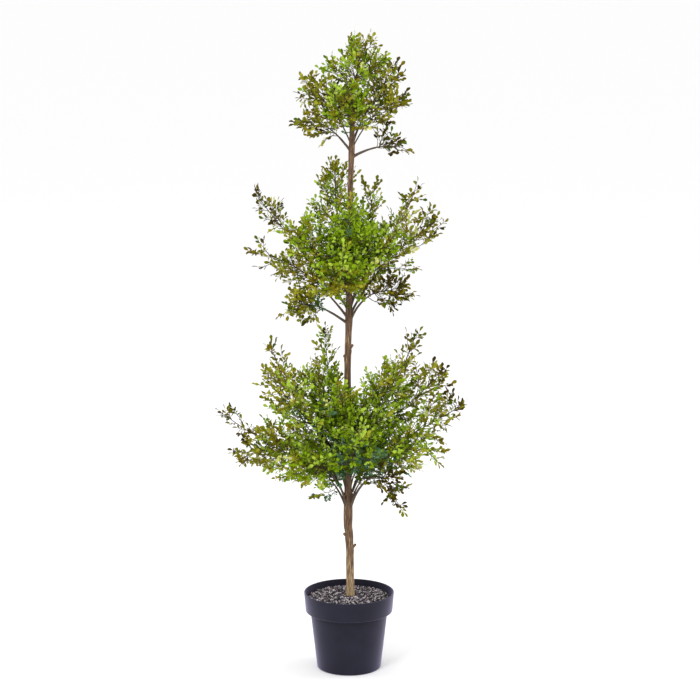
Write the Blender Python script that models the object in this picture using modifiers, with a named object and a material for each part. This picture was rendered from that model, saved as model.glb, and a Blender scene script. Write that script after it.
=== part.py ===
"""Artificial boxwood topiary: three tiers of foliage on one slender stem, in a round nursery pot.

Metres, +Z up.  The origin is the centre of the pot's flat underside.
Azimuths are degrees from +X, towards +Y; the plant is seen from -Y.
"""

import math
import random

import bmesh
import bpy
from mathutils import Matrix, Vector
from mathutils.geometry import interpolate_bezier, intersect_point_line

# ---------------------------------------------------------------- driving dimensions

CLEARANCE = 0.0003            # between two solids that touch
WELD = 0.000002               # corners closer than this are one

POT_HEIGHT = 0.184
POT_RIM_RADIUS = 0.106
POT_COLLAR_FOOT_RADIUS = 0.1024
POT_COLLAR_HEIGHT = 0.046
POT_BODY_TOP_RADIUS = 0.0911
POT_BASE_RADIUS = 0.0752
POT_BASE_ROUNDING = 0.004
POT_WALL = 0.0028
POT_FLOOR = 0.0035
POT_RIM_ROUNDING = 0.0006
POT_COLLAR_ROUNDING = 0.0010  # at the collar's lower edge
POT_SEGMENTS = 40

FILL_EDGE_DEPTH = 0.017       # from the rim down to the grit at the wall
FILL_CROWN_DEPTH = 0.009      # from the rim down to the grit round the stem
FILL_FLAT_RADIUS = 0.020      # level patch that the stem stands on
FILL_RINGS = 4
FILL_ROUGHNESS = 0.0012       # the grit's ups and downs, away from its rim and its level patch

TRUNK_FOOT = POT_HEIGHT - FILL_CROWN_DEPTH + CLEARANCE
TRUNK_TIP = 1.365
TRUNK_FOOT_RADIUS = 0.0094
TRUNK_TIP_RADIUS = 0.0056
TRUNK_POINT_RADIUS = 0.0034   # at the very tip, above the last boughs
TRUNK_POINT_LENGTH = 0.050
FLARE = 0.0012
FLARE_HEIGHT = 0.012
TRUNK_SECTIONS = 22

# The stem's gentle meander: height, offset to +X, offset to +Y.
TRUNK_COURSE = (
    (TRUNK_FOOT, 0.0033, 0.0),
    (0.270, 0.0020, 0.001),
    (0.318, 0.0008, 0.001),
    (0.346, -0.0024, 0.002),
    (0.400, -0.0020, 0.002),
    (0.720, -0.0032, -0.001),
    (0.860, 0.0000, -0.002),
    (1.120, 0.0028, 0.000),
    (1.280, 0.0070, 0.001),
    (TRUNK_TIP, 0.0085, 0.000),
)

# Pruned side shoots left on the stem: height, azimuth, pitch, length.
STUBS = (
    (0.284, 20, 42, 0.0115),
    (0.312, 175, 44, 0.0100),
    (0.746, 172, 35, 0.0048),
    (0.763, 8, 52, 0.0120),
)
STUB_RADIUS = 0.0032
STUB_END_RADIUS = 0.0020
STUB_SUNK = 0.6               # share of the stem's radius that a stub's foot is sunk

# Where a tier's boughs leave, the stem thickens: height, swelling, and how far it spreads.
TIER_COLLARS = (
    (0.376, 0.0019, 0.042),
    (0.842, 0.0012, 0.030),
    (1.228, 0.0011, 0.024),
)

BOUGH_ROOT_RADIUS = 0.0032
BOUGH_END_RADIUS = 0.0021
BOUGH_PITCH_LIMITS = (28, 80)
BOUGH_SECTIONS = 5
PATH_POINTS = 41

# One row for each spray of foliage: azimuth, height where it leaves the stem, reach of its
# tip from the pot's axis, height of its tip, and the pitch of its tip in degrees.
SPRAYS = {
    "lower": {
        "left_far": (180, 0.386, 0.272, 0.598, 38),
        "left_low": (196, 0.372, 0.242, 0.539, -4),
        "left_high": (157, 0.410, 0.190, 0.736, 70),
        "back_left": (116, 0.398, 0.125, 0.755, 80),
        "right_high": (43, 0.430, 0.200, 0.748, 68),
        "right_far": (1, 0.388, 0.238, 0.618, 32),
        "right_low": (338, 0.370, 0.202, 0.546, -4),
        "front_right": (320, 0.364, 0.141, 0.437, -66),
        "front_left": (230, 0.366, 0.166, 0.507, -16),
        "left_upper": (205, 0.428, 0.188, 0.706, 54),
        "right_upper": (19, 0.412, 0.214, 0.680, 40),
        "back": (88, 0.384, 0.205, 0.590, 20),
        "back_low_right": (58, 0.390, 0.178, 0.495, -12),
        "back_low_left": (136, 0.382, 0.190, 0.505, -8),
        "front": (278, 0.404, 0.165, 0.585, 24),
        "inner_front": (258, 0.452, 0.080, 0.665, 64),
        "inner_left": (172, 0.466, 0.084, 0.692, 68),
        "inner_right": (350, 0.460, 0.102, 0.704, 64),
    },
    "middle": {
        "left_high": (166, 0.852, 0.204, 1.100, 54),
        "left_far": (182, 0.838, 0.196, 0.990, 10),
        "left_mid": (196, 0.862, 0.130, 0.954, 8),
        "left_low": (200, 0.827, 0.134, 0.874, -26),
        "back_left": (114, 0.868, 0.082, 1.155, 82),
        "back_right": (60, 0.872, 0.110, 1.105, 74),
        "right_high": (24, 0.856, 0.160, 1.112, 66),
        "right_far": (358, 0.843, 0.180, 1.052, 34),
        "right_mid": (346, 0.876, 0.114, 0.990, 24),
        "right_low": (334, 0.827, 0.126, 0.911, -10),
        "left_upper": (208, 0.888, 0.132, 1.046, 46),
        "right_upper": (328, 0.890, 0.106, 1.030, 50),
        "back": (88, 0.842, 0.165, 1.000, 20),
        "front": (262, 0.850, 0.132, 0.980, 18),
        "inner_front": (274, 0.912, 0.060, 1.085, 74),
    },
    "upper": {
        "left_high": (163, 1.238, 0.084, 1.366, 40),
        "left_low": (194, 1.226, 0.092, 1.298, -2),
        "right_high": (26, 1.238, 0.104, 1.396, 54),
        "right_far": (4, 1.232, 0.100, 1.338, 22),
        "right_low": (344, 1.214, 0.113, 1.243, -6),
        "back": (94, 1.242, 0.085, 1.345, 25),
        "front": (262, 1.250, 0.070, 1.356, 36),
    },
}
TOP_SPRAY_TIP = (0.033, 0.010, 1.450)
TOP_SPRAY_LEAN = (-0.004, 0.004, 0.0)

# Sprays with no bare bough of their own: their stems spring from the trunk, leaves and all.
BOUGHLESS = {
    "lower": ("left_upper", "right_upper", "back", "back_left", "back_low_left",
              "back_low_right", "front", "inner_front", "inner_left", "inner_right"),
    "middle": ("left_high", "left_mid", "left_upper", "right_mid", "right_upper",
               "back", "back_left", "back_right", "front", "inner_front"),
    "upper": ("left_high", "right_far", "back", "front"),
}

# The degrees by which a tier's boughs leave the stem above their chord, the length of their
# paths' two Bezier handles as a share of the chord, how much of each path is bare, and how the
# foliage on the rest is dealt out.
TIER_HABIT = {
    "lower": {"steeper": 40, "pull": 0.40, "bare": 0.22, "twigs": 7, "twig_length": 0.100},
    "middle": {"steeper": 16, "pull": 0.34, "bare": 0.24, "twigs": 7, "twig_length": 0.088},
    "upper": {"steeper": 16, "pull": 0.34, "bare": 0.27, "twigs": 6, "twig_length": 0.064},
    "top": {"bare": 0.0, "twigs": 7, "twig_length": 0.070},
}

# Many sprays have shorter twigs than their tier's. The high slender ones stay bare for longer, and
# so do the drooping ones, whose boughs arch more.
OWN_HABIT = {
    "lower_front_right": {"steeper": 50, "pull": 0.60, "bare": 0.60, "twig_length": 0.030},
    "lower_front_left": {"bare": 0.34, "twig_length": 0.062},
    "lower_left_low": {"twig_length": 0.085},
    "lower_left_far": {"twig_length": 0.085},
    "lower_left_high": {"bare": 0.46, "twigs": 6, "twig_length": 0.042},
    "lower_back_left": {"twig_length": 0.036},
    "lower_right_high": {"bare": 0.50, "twigs": 6, "twig_length": 0.036},
    "lower_right_far": {"twig_length": 0.085},
    "lower_right_low": {"twig_length": 0.085},
    "lower_inner_front": {"twig_length": 0.080},
    "lower_inner_right": {"twig_length": 0.080},
    "middle_left_high": {"bare": 0.72, "twigs": 5, "twig_length": 0.028},
    "middle_left_far": {"twig_length": 0.074},
    "middle_left_low": {"bare": 0.44, "twig_length": 0.032},
    "middle_right_high": {"bare": 0.50, "twigs": 6, "twig_length": 0.034},
    "middle_right_upper": {"twig_length": 0.064},
    "middle_right_far": {"twig_length": 0.074},
    "middle_right_low": {"steeper": 34, "pull": 0.42, "bare": 0.42, "twig_length": 0.046},
    "upper_front": {"bare": 0.16, "twig_length": 0.058},
    "upper_right_low": {"bare": 0.56, "twig_length": 0.024},
    "upper_right_far": {"bare": 0.36, "twig_length": 0.046},
    "upper_left_low": {"bare": 0.34, "twig_length": 0.038},
}

STEM_FOOT_RADIUS = 0.0020
STEM_END_RADIUS = 0.0015
STEM_SECTIONS = 5
SQUARE_END = 0.004            # straight stretch where a bough and a stem meet end to end
TWIG_FOOT_RADIUS = 0.0014
TWIG_END_RADIUS = 0.0011
TWIG_GIRTH = 0.7              # of the stem it springs from, at most
TWIG_SHORTEST = 0.014
TWIG_RISE = 0.15              # how much a twig turns up towards the light
TWIG_MARKS = (0.3, 0.65, 1.0)      # shares of a twig's length that have to lie in the space
TWIG_DRAWN_IN = 0.85          # how much shorter it is tried next, where they don't
TWIG_ROOM = 0.012             # room kept round a twig for its leaves
TWIG_TAPERING = 0.70          # share of its length that a twig loses towards the stem's tip
TWIG_SPIRAL = math.radians(137.5)
TWIG_LEAN = (math.radians(66), math.radians(34))     # at the mass's foot, and at its tip

LEAF_LENGTH = 0.046           # each stands for a small sprig of leaves
LEAF_WIDTH = 0.029
LEAF_BROADEST = 0.60          # share of its length at which its sides stand out
LEAF_KEEL = 0.0035            # how far its sides stand above its midrib
LEAF_SPACING = 0.017          # least distance between two leaves' middles
LEAF_SPREAD = 1.0             # how far a side leaf turns away from its twig
LEAF_SINK = (0.0012, 0.0)     # a leaf's point inside the twig, at its end and at its side
LEAF_PLACES = ((0.34, 1), (0.58, -1), (0.82, 1), (1.0, 0))   # share of the twig's length, and side

SPACE_SECTIONS = 12           # straight stretches that stand for a stem where spaces are told
NEAR_STEMS = 0.5              # stems that leave the trunk further off, up or down, aren't near
NEAR_LIMBS = 0.3
SPACE_MARGIN = 0.0020         # foliage stays this much nearer its own stem than any other
LIMB_MARGIN = 0.0020          # and this far from the skin of a limb
SEED = 31

SOLID_SETTINGS = {
    "pot_plastic": ((0.045, 0.045, 0.062), 0.48),
    "grit": ((0.150, 0.128, 0.125), 0.95),
    "stem_bark": ((0.300, 0.205, 0.120), 0.80),
    "bough_bark": ((0.130, 0.095, 0.070), 0.80),
    "leaf": ((0.120, 0.200, 0.030), 0.50),
}


# ---------------------------------------------------------------- scene helpers

def clear_scene():
    for obj in list(bpy.data.objects):
        bpy.data.objects.remove(obj)


def new_collection(name):
    made = bpy.data.collections.new(name)
    bpy.context.scene.collection.children.link(made)
    return made


def new_material(name):
    colour, roughness = SOLID_SETTINGS[name]
    made = bpy.data.materials.new(name)
    made.use_nodes = True
    shader = made.node_tree.nodes["Principled BSDF"]
    shader.inputs["Base Color"].default_value = (*colour, 1.0)
    shader.inputs["Roughness"].default_value = roughness
    return made


def give_material(mesh, material):
    mesh.materials.clear()
    mesh.materials.append(material)


def place(name, mesh, collection, material=None):
    obj = bpy.data.objects.new(name, mesh)
    if material:
        give_material(mesh, material)
    collection.objects.link(obj)
    return obj


def mesh_from(bm, name):
    made = bpy.data.meshes.new(name)
    bm.to_mesh(made)
    bm.free()
    return made


def evaluated_mesh(obj):
    graph = bpy.context.evaluated_depsgraph_get()
    return bpy.data.meshes.new_from_object(obj.evaluated_get(graph))


def tube(name, points, radii, half_ring):
    """A closed tapering tube along points. half_ring 0 gives 4 sides, and each step 2 more."""
    curve = bpy.data.curves.new(name, "CURVE")
    curve.dimensions = "3D"
    curve.twist_mode = "MINIMUM"
    curve.bevel_depth = 1.0
    curve.bevel_resolution = half_ring
    curve.use_fill_caps = True
    spline = curve.splines.new("POLY")
    spline.points.add(len(points) - 1)
    for knot, point, radius in zip(spline.points, points, radii):
        knot.co = (*point, 1.0)
        knot.radius = radius
    guide = bpy.data.objects.new(name, curve)
    bpy.context.scene.collection.objects.link(guide)
    mesh = evaluated_mesh(guide)
    bpy.data.objects.remove(guide)
    bm = bmesh.new()
    bm.from_mesh(mesh)
    bmesh.ops.remove_doubles(bm, verts=bm.verts, dist=1e-5)
    bmesh.ops.recalc_face_normals(bm, faces=bm.faces)
    bm.to_mesh(mesh)
    bm.free()
    return mesh


def keep_main_body(mesh):
    """Drops loose scraps, and fills sealed hollows, by keeping only the largest closed skin.

    Says whether that skin is sound: two faces at every edge.
    """
    bm = bmesh.new()
    bm.from_mesh(mesh)
    bmesh.ops.remove_doubles(bm, verts=bm.verts, dist=WELD)
    left = set(bm.faces)
    skins = []
    while left:
        skin, front = set(), [left.pop()]
        while front:
            face = front.pop()
            skin.add(face)
            near = {f for edge in face.edges for f in edge.link_faces} & left
            left -= near
            front += near
        skins.append(skin)
    skins.sort(key=len)
    for skin in skins[:-1]:
        bmesh.ops.delete(bm, geom=list(skin), context="FACES")
    sound = all(len(edge.link_faces) == 2 for edge in bm.edges)
    bmesh.ops.recalc_face_normals(bm, faces=bm.faces)
    bm.to_mesh(mesh)
    bm.free()
    return sound


def apply_boolean(obj, operation, solver="EXACT", **operand):
    boolean = obj.modifiers.new(operation.lower(), "BOOLEAN")
    boolean.operation = operation
    boolean.solver = solver
    for setting, value in operand.items():
        setattr(boolean, setting, value)
    mesh = evaluated_mesh(obj)
    obj.modifiers.clear()
    return mesh


def cut(obj, cutter):
    obj.data = apply_boolean(obj, "DIFFERENCE", object=cutter)
    keep_main_body(obj.data)


def fuse(obj, pieces, name):
    """Joins the pieces to obj by one Boolean union on their collection, then removes them.

    Where the union isn't sound, the other solver makes it, and then both go on with a piece less.
    """
    joined = new_collection(name)
    for piece in pieces:
        joined.objects.link(piece)
    kept = list(pieces)
    sound = False
    while not sound:
        for solver in ("EXACT", "MANIFOLD"):
            mesh = apply_boolean(
                obj, "UNION", solver, operand_type="COLLECTION", collection=joined
            )
            sound = keep_main_body(mesh)
            if sound:
                break
        else:
            joined.objects.unlink(kept.pop())
    obj.data = mesh
    for piece in pieces:
        bpy.data.objects.remove(piece)
    bpy.data.collections.remove(joined)


# ---------------------------------------------------------------- pot and its fill

def turned(name, profile, collection, material):
    """A profile of (radius, height) points turned about Z. Its outer side runs downwards."""
    bm = bmesh.new()
    knots = [bm.verts.new((radius, 0.0, height)) for radius, height in profile]
    for first, second in zip(knots, knots[1:]):
        bm.edges.new((first, second))
    obj = place(name, mesh_from(bm, name), collection, material)
    screw = obj.modifiers.new("turn", "SCREW")
    screw.steps = POT_SEGMENTS
    screw.render_steps = POT_SEGMENTS
    screw.use_merge_vertices = True
    screw.merge_threshold = 0.00001
    return obj


def pot_wall_radius(height):
    """Outer radius of the pot's body, under its collar."""
    top = POT_HEIGHT - POT_COLLAR_HEIGHT
    return POT_BASE_RADIUS + (POT_BODY_TOP_RADIUS - POT_BASE_RADIUS) * height / top


def collar_inner_radius(height):
    slope = (POT_RIM_RADIUS - POT_COLLAR_FOOT_RADIUS) / POT_COLLAR_HEIGHT
    return POT_RIM_RADIUS - POT_WALL - slope * (POT_HEIGHT - height)


def build_pot(collection, material):
    collar_foot = POT_HEIGHT - POT_COLLAR_HEIGHT
    shoulder = collar_foot + POT_WALL
    profile = [
        (0.0, POT_FLOOR),
        (pot_wall_radius(POT_FLOOR) - POT_WALL, POT_FLOOR),
        (POT_BODY_TOP_RADIUS - POT_WALL, shoulder),
        (collar_inner_radius(shoulder), shoulder),
        (POT_RIM_RADIUS - POT_WALL, POT_HEIGHT - POT_RIM_ROUNDING),
        (POT_RIM_RADIUS - POT_WALL + POT_RIM_ROUNDING, POT_HEIGHT),
        (POT_RIM_RADIUS - POT_RIM_ROUNDING, POT_HEIGHT),
        (POT_RIM_RADIUS, POT_HEIGHT - POT_RIM_ROUNDING),
        (POT_COLLAR_FOOT_RADIUS, collar_foot + POT_COLLAR_ROUNDING),
        (POT_COLLAR_FOOT_RADIUS - POT_COLLAR_ROUNDING, collar_foot),
        (POT_BODY_TOP_RADIUS, collar_foot),
        (pot_wall_radius(POT_BASE_ROUNDING), POT_BASE_ROUNDING),
        (pot_wall_radius(0.0) - 0.3 * POT_BASE_ROUNDING, 0.3 * POT_BASE_ROUNDING),
        (POT_BASE_RADIUS - POT_BASE_ROUNDING, 0.0),
        (0.0, 0.0),
    ]
    return turned("pot", profile, collection, material)


def build_fill(collection, material):
    """The weighted fill and its mound of grit, clear of the pot's inside by CLEARANCE."""
    rng = random.Random(SEED)
    floor = POT_FLOOR + CLEARANCE
    shoulder = POT_HEIGHT - POT_COLLAR_HEIGHT + POT_WALL + CLEARANCE
    edge = POT_HEIGHT - FILL_EDGE_DEPTH
    crown = POT_HEIGHT - FILL_CROWN_DEPTH
    edge_radius = collar_inner_radius(edge) - CLEARANCE
    profile = [(0.0, crown)]
    for ring in range(FILL_RINGS + 1):
        share = ring / FILL_RINGS
        radius = FILL_FLAT_RADIUS + (edge_radius - FILL_FLAT_RADIUS) * share
        profile.append((radius, crown - (crown - edge) * share**2))
    profile += [
        (collar_inner_radius(shoulder) - CLEARANCE, shoulder),
        (POT_BODY_TOP_RADIUS - POT_WALL - CLEARANCE, shoulder),
        (pot_wall_radius(floor) - POT_WALL - CLEARANCE, floor),
        (0.0, floor),
    ]
    obj = turned("pot_fill", profile, collection, material)
    obj.data = evaluated_mesh(obj)
    obj.modifiers.clear()
    for vertex in obj.data.vertices:
        on_mound = FILL_FLAT_RADIUS + WELD < vertex.co.xy.length < edge_radius - WELD
        if vertex.co.z > edge and on_mound:
            vertex.co.z += rng.uniform(-FILL_ROUGHNESS, FILL_ROUGHNESS)
    return obj


# ---------------------------------------------------------------- trunk and boughs

def trunk_centre(height):
    """The stem's centre line, eased between the knots of its course."""
    knots = TRUNK_COURSE
    for low, high in zip(knots, knots[1:]):
        if height <= high[0] or high is knots[-1]:
            share = (height - low[0]) / (high[0] - low[0])
            ease = share * share * (3 - 2 * share)
            x = low[1] + (high[1] - low[1]) * ease
            y = low[2] + (high[2] - low[2]) * ease
            return Vector((x, y, height))


def trunk_radius(height):
    share = (height - TRUNK_FOOT) / (TRUNK_TIP - TRUNK_FOOT)
    radius = TRUNK_FOOT_RADIUS + (TRUNK_TIP_RADIUS - TRUNK_FOOT_RADIUS) * share
    radius += FLARE * math.exp(-(height - TRUNK_FOOT) / FLARE_HEIGHT)
    for collar, swelling, spread in TIER_COLLARS:
        radius += swelling * math.exp(-(((height - collar) / spread) ** 2))
    to_tip = max(0.0, 1 - (TRUNK_TIP - height) / TRUNK_POINT_LENGTH)
    return radius + (TRUNK_POINT_RADIUS - radius) * to_tip


def trunk_heights():
    """Sections that crowd at the flare and then run evenly to the tip."""
    flare = [TRUNK_FOOT, TRUNK_FOOT + 0.010, TRUNK_FOOT + 0.026]
    start = flare[-1]
    steps = TRUNK_SECTIONS - len(flare)
    return flare + [start + (TRUNK_TIP - start) * (i + 1) / steps for i in range(steps)]


def trunk_mesh(name, grow):
    heights = trunk_heights()
    points = [trunk_centre(height) for height in heights]
    radii = [trunk_radius(height) + grow for height in heights]
    return tube(name, points, radii, 3)


def heading(azimuth, pitch):
    a, p = math.radians(azimuth), math.radians(pitch)
    return Vector((math.cos(a) * math.cos(p), math.sin(a) * math.cos(p), math.sin(p)))


def cone_piece(name, foot, tip, foot_radius, tip_radius, sides):
    """A straight tapering stick from foot to tip, as an object that is in no collection yet."""
    run = tip - foot
    bm = bmesh.new()
    bmesh.ops.create_cone(
        bm, cap_ends=True, segments=sides,
        radius1=foot_radius, radius2=tip_radius, depth=run.length,
    )
    turn = run.to_track_quat("Z", "Y").to_matrix().to_4x4()
    bmesh.ops.transform(bm, matrix=Matrix.Translation((foot + tip) / 2) @ turn, verts=bm.verts)
    return bpy.data.objects.new(name, mesh_from(bm, name))


def build_trunk(collection, material):
    obj = place("trunk", trunk_mesh("trunk", 0.0), collection, material)
    stubs = []
    for height, azimuth, pitch, length in STUBS:
        out = heading(azimuth, pitch)
        sunk = STUB_SUNK * trunk_radius(height)
        foot = trunk_centre(height) + out * (trunk_radius(height) - sunk)
        tip = foot + out * (sunk + length)
        stubs.append(cone_piece("stub", foot, tip, STUB_RADIUS, STUB_END_RADIUS, 6))
    fuse(obj, stubs, "stubs")
    give_material(obj.data, material)
    return obj


def spray_path(row, habit):
    """The course of a bough and of the stem of its foliage, from the trunk's centre to the tip."""
    azimuth, root_height, reach, tip_height, tip_pitch = row
    root = trunk_centre(root_height)
    tip = heading(azimuth, 0) * reach + Vector((0, 0, tip_height))
    chord = tip - root
    chord_pitch = math.degrees(math.atan2(chord.z, chord.xy.length))
    low, high = BOUGH_PITCH_LIMITS
    leave_pitch = min(high, max(low, chord_pitch + habit["steeper"]))
    handle = habit["pull"] * chord.length
    leave = root + heading(azimuth, leave_pitch) * handle
    arrive = tip - heading(azimuth, tip_pitch) * handle
    return interpolate_bezier(root, leave, arrive, tip, PATH_POINTS)


def split_path(path, share):
    """The path's points up to the share, and the rest, which starts CLEARANCE further on."""
    cut = round(share * (len(path) - 1))
    ahead = (path[cut + 1] - path[cut]).normalized()
    return path[: cut + 1], [path[cut] + ahead * CLEARANCE] + path[cut + 1:]


def every(points, count):
    """count of the points, evenly chosen, with both ends kept."""
    last = len(points) - 1
    return [points[round(i * last / (count - 1))] for i in range(count)]


def build_bough(name, path, cutter, collection, material):
    points = every(path, BOUGH_SECTIONS)
    points.insert(-1, points[-1] - (path[-1] - path[-2]).normalized() * SQUARE_END)
    radii = [
        BOUGH_ROOT_RADIUS + (BOUGH_END_RADIUS - BOUGH_ROOT_RADIUS) * i / (len(points) - 1)
        for i in range(len(points))
    ]
    obj = place(name, tube(name, points, radii, 0), collection, material)
    cut(obj, cutter)
    give_material(obj.data, material)
    return obj


# ---------------------------------------------------------------- foliage

def distance_to(point, line):
    best = math.inf
    for first, second in zip(line, line[1:]):
        near, share = intersect_point_line(point, first, second)
        if share < 0:
            near = first
        elif share > 1:
            near = second
        best = min(best, (point - near).length)
    return best


class Space:
    """The room that one mass of foliage keeps to: nearer its own stem than any other stem."""

    def __init__(self, name, stems, limbs):
        self.own = stems[name]
        self.others = [
            stem for other, stem in stems.items()
            if other != name and abs(stem[0].z - self.own[0].z) < NEAR_STEMS
        ]
        self.limbs = [limb for limb in limbs if abs(limb[0].z - self.own[0].z) < NEAR_LIMBS]

    def clear_of_limbs(self, point):
        if point.z < TRUNK_TIP + LIMB_MARGIN:
            height = min(point.z, TRUNK_TIP)
            if (point - trunk_centre(height)).length < trunk_radius(height) + LIMB_MARGIN:
                return False
        return all(distance_to(point, limb) > BOUGH_ROOT_RADIUS + LIMB_MARGIN for limb in self.limbs)

    def holds(self, point, girth):
        limit = distance_to(point, self.own) + 2 * (SPACE_MARGIN + girth)
        if any(distance_to(point, stem) < limit for stem in self.others):
            return False
        return self.clear_of_limbs(point)


def leaf_corners(foot, along, normal, size):
    """A leaf's four corners: its point, its tip, and its two sides, which stand above them."""
    side = along.cross(normal).normalized()
    face = side.cross(along).normalized()
    middle = foot + along * (LEAF_BROADEST * LEAF_LENGTH * size) + face * (LEAF_KEEL * size)
    half = side * (0.5 * LEAF_WIDTH * size)
    return [foot, foot + along * (LEAF_LENGTH * size), middle - half, middle + half]


def turn_about_z(vertex):
    """Puts a cone's tip first, and then the corners of its foot, clockwise."""
    x, y, z = vertex.co
    return (-round(z, 3), -math.atan2(y, x))


def leaf_piece(corners):
    """A keeled leaf of four facets: a three-sided cone drawn out to the leaf's corners."""
    bm = bmesh.new()
    bmesh.ops.create_cone(bm, cap_ends=True, segments=3, radius1=1.0, radius2=0.0, depth=1.0)
    bmesh.ops.remove_doubles(bm, verts=bm.verts, dist=1e-4)
    for vertex, corner in zip(sorted(bm.verts, key=turn_about_z), corners):
        vertex.co = corner
    return bpy.data.objects.new("leaf", mesh_from(bm, "leaf"))


def square_to(direction, roll):
    """A unit vector square to direction, turned by roll about it from the upward side."""
    up = Vector((0, 0, 1)) if abs(direction.z) < 0.95 else Vector((1, 0, 0))
    side = (up - direction * up.dot(direction)).normalized()
    return Matrix.Rotation(roll, 3, direction) @ side


def jitter(rng, size):
    return Vector((rng.uniform(-size, size), rng.uniform(-size, size), rng.uniform(-size, size)))


def grow_leaves(space, foot, tip, rng, middles):
    """Leaves along one twig, alternately left and right, and one that ends it."""
    run = tip - foot
    ahead = run.normalized()
    outward = Vector((tip.x, tip.y, 0)).normalized()
    out = square_to(ahead, math.pi / 2 + rng.uniform(-0.5, 0.5))
    made = []
    for share, side in LEAF_PLACES:
        size = rng.uniform(0.86, 1.14)
        along = (ahead + out * (LEAF_SPREAD * side) + jitter(rng, 0.15)).normalized()
        normal = outward * 0.7 + Vector((0, 0, 0.7)) + jitter(rng, 0.45)
        root = foot + run * share - along * LEAF_SINK[abs(side)]
        corners = leaf_corners(root, along, normal, size)
        middle = (corners[2] + corners[3]) / 2
        if any((middle - other).length < LEAF_SPACING for other in middles):
            continue
        if not all(space.holds(corner, 0.0) for corner in corners[1:]):
            continue
        middles.append(middle)
        made.append(leaf_piece(corners))
    return made


def at_share(course, share):
    """The point at a share of the course's sections, and the direction there."""
    at = share * (len(course) - 1)
    low = min(int(at), len(course) - 2)
    run = course[low + 1] - course[low]
    return course[low] + run * (at - low), run.normalized()


def stem_radius(share):
    return STEM_FOOT_RADIUS + (STEM_END_RADIUS - STEM_FOOT_RADIUS) * share


def grow_twig(space, foot, ahead, length, roll, share):
    """The tip of a side twig, drawn in until it lies in the mass's space, or None."""
    lean = TWIG_LEAN[0] + (TWIG_LEAN[1] - TWIG_LEAN[0]) * share
    way = ahead * math.cos(lean) + square_to(ahead, roll) * math.sin(lean)
    way = (way + Vector((0, 0, TWIG_RISE))).normalized()
    while length > TWIG_SHORTEST:
        marks = [foot + way * (length * part) for part in TWIG_MARKS]
        if all(space.holds(mark, TWIG_ROOM) for mark in marks):
            return marks[-1]
        length *= TWIG_DRAWN_IN
    return None


def build_mass(name, stem, first, space, habit, cutter, collection, material):
    """One mass of foliage: its stem, the twigs that spiral up it, and their leaves, all fused.

    The twigs start at the share first of the stem. A cutter trims the foot of a stem that
    springs from the trunk.
    """
    twig_rng = random.Random(f"{SEED} {name} twigs")
    leaf_rng = random.Random(f"{SEED} {name} leaves")
    count = habit["twigs"]
    course = every(stem, STEM_SECTIONS)
    points = course[:1] + [course[0] + (stem[1] - stem[0]).normalized() * SQUARE_END] + course[1:]
    radii = [stem_radius(i / (STEM_SECTIONS - 1)) for i in range(STEM_SECTIONS)]
    radii = radii[:1] + radii
    obj = place(name, tube(name, points, radii, 0), collection, material)
    if cutter:
        cut(obj, cutter)
    pieces, middles = [], []
    turn = twig_rng.uniform(0, 2 * math.pi)
    for i in range(count):
        share = first + (1 - first) * (i + 0.4) / count
        foot, ahead = at_share(course, share)
        length = habit["twig_length"] * (1 - TWIG_TAPERING * (share - first) / (1 - first))
        length *= twig_rng.uniform(0.88, 1.12)
        tip = grow_twig(space, foot, ahead, length, turn + i * TWIG_SPIRAL, share)
        if tip is None:
            continue
        girth = min(TWIG_FOOT_RADIUS, TWIG_GIRTH * stem_radius(share))
        twig = cone_piece("twig", foot, tip, girth, TWIG_END_RADIUS, 3)
        pieces.append(twig)
        pieces += grow_leaves(space, foot, tip, leaf_rng, middles)
    pieces += grow_leaves(space, points[-2], points[-1], leaf_rng, middles)
    fuse(obj, pieces, name + "_pieces")
    give_material(obj.data, material)
    return obj


# ---------------------------------------------------------------- the whole plant

def plan_sprays():
    """The bare part of each path, its leafy stem, and its habit, by the spray's name."""
    bare, stems, habits = {}, {}, {}
    for tier, rows in SPRAYS.items():
        for side, row in rows.items():
            name = f"{tier}_{side}"
            habits[name] = habit = {**TIER_HABIT[tier], **OWN_HABIT.get(name, {})}
            path = spray_path(row, habit)
            if side in BOUGHLESS[tier]:
                stems[name] = path
            else:
                bare[name], stems[name] = split_path(path, habit["bare"])
    stems["top"], habits["top"] = top_path(), TIER_HABIT["top"]
    return bare, stems, habits


def top_path():
    tip = Vector(TOP_SPRAY_TIP)
    start = trunk_centre(TRUNK_TIP) + Vector((0, 0, CLEARANCE))
    third = (tip.z - start.z) / 3
    arrive = tip - Vector((0, 0, third)) + Vector(TOP_SPRAY_LEAN)
    return interpolate_bezier(start, start + Vector((0, 0, third)), arrive, tip, PATH_POINTS)


def main():
    clear_scene()
    plant = new_collection("boxwood_topiary")
    cutters = new_collection("cutters")
    materials = {name: new_material(name) for name in SOLID_SETTINGS}

    build_pot(plant, materials["pot_plastic"])
    build_fill(plant, materials["grit"])
    build_trunk(plant, materials["stem_bark"])

    cutter = place("trunk_room", trunk_mesh("trunk_room", CLEARANCE), cutters)
    cutter.hide_render = True
    cutter.display_type = "WIRE"

    bare, stems, habits = plan_sprays()
    limbs = [every(path, BOUGH_SECTIONS) for path in bare.values()]
    sampled = {name: every(stem, SPACE_SECTIONS + 1) for name, stem in stems.items()}
    for name, stem in stems.items():
        habit = habits[name]
        if name in bare:
            build_bough(f"bough_{name}", bare[name], cutter, plant, materials["bough_bark"])
        springs = name not in bare and name != "top"
        build_mass(
            f"foliage_{name}", stem, habit["bare"] if springs else 0.0,
            Space(name, sampled, limbs), habit, cutter if springs else None,
            plant, materials["leaf"],
        )


main()
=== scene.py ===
"""The looks of an artificial boxwood topiary: three open tiers of foliage on one slender stem, in a
round nursery pot.

Metres, +Z up, with the origin at the centre of the pot's flat underside.  Azimuths are degrees from
+X, towards +Y, and the plant is seen from -Y.  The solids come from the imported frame.  The pot, the
stem and the boughs are modelled again with their relief.  The foliage grows on the solids' own stems
and twigs, by the same seeded rule, and goes on to finer sprigs and leaves.
"""

import math
import random

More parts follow.
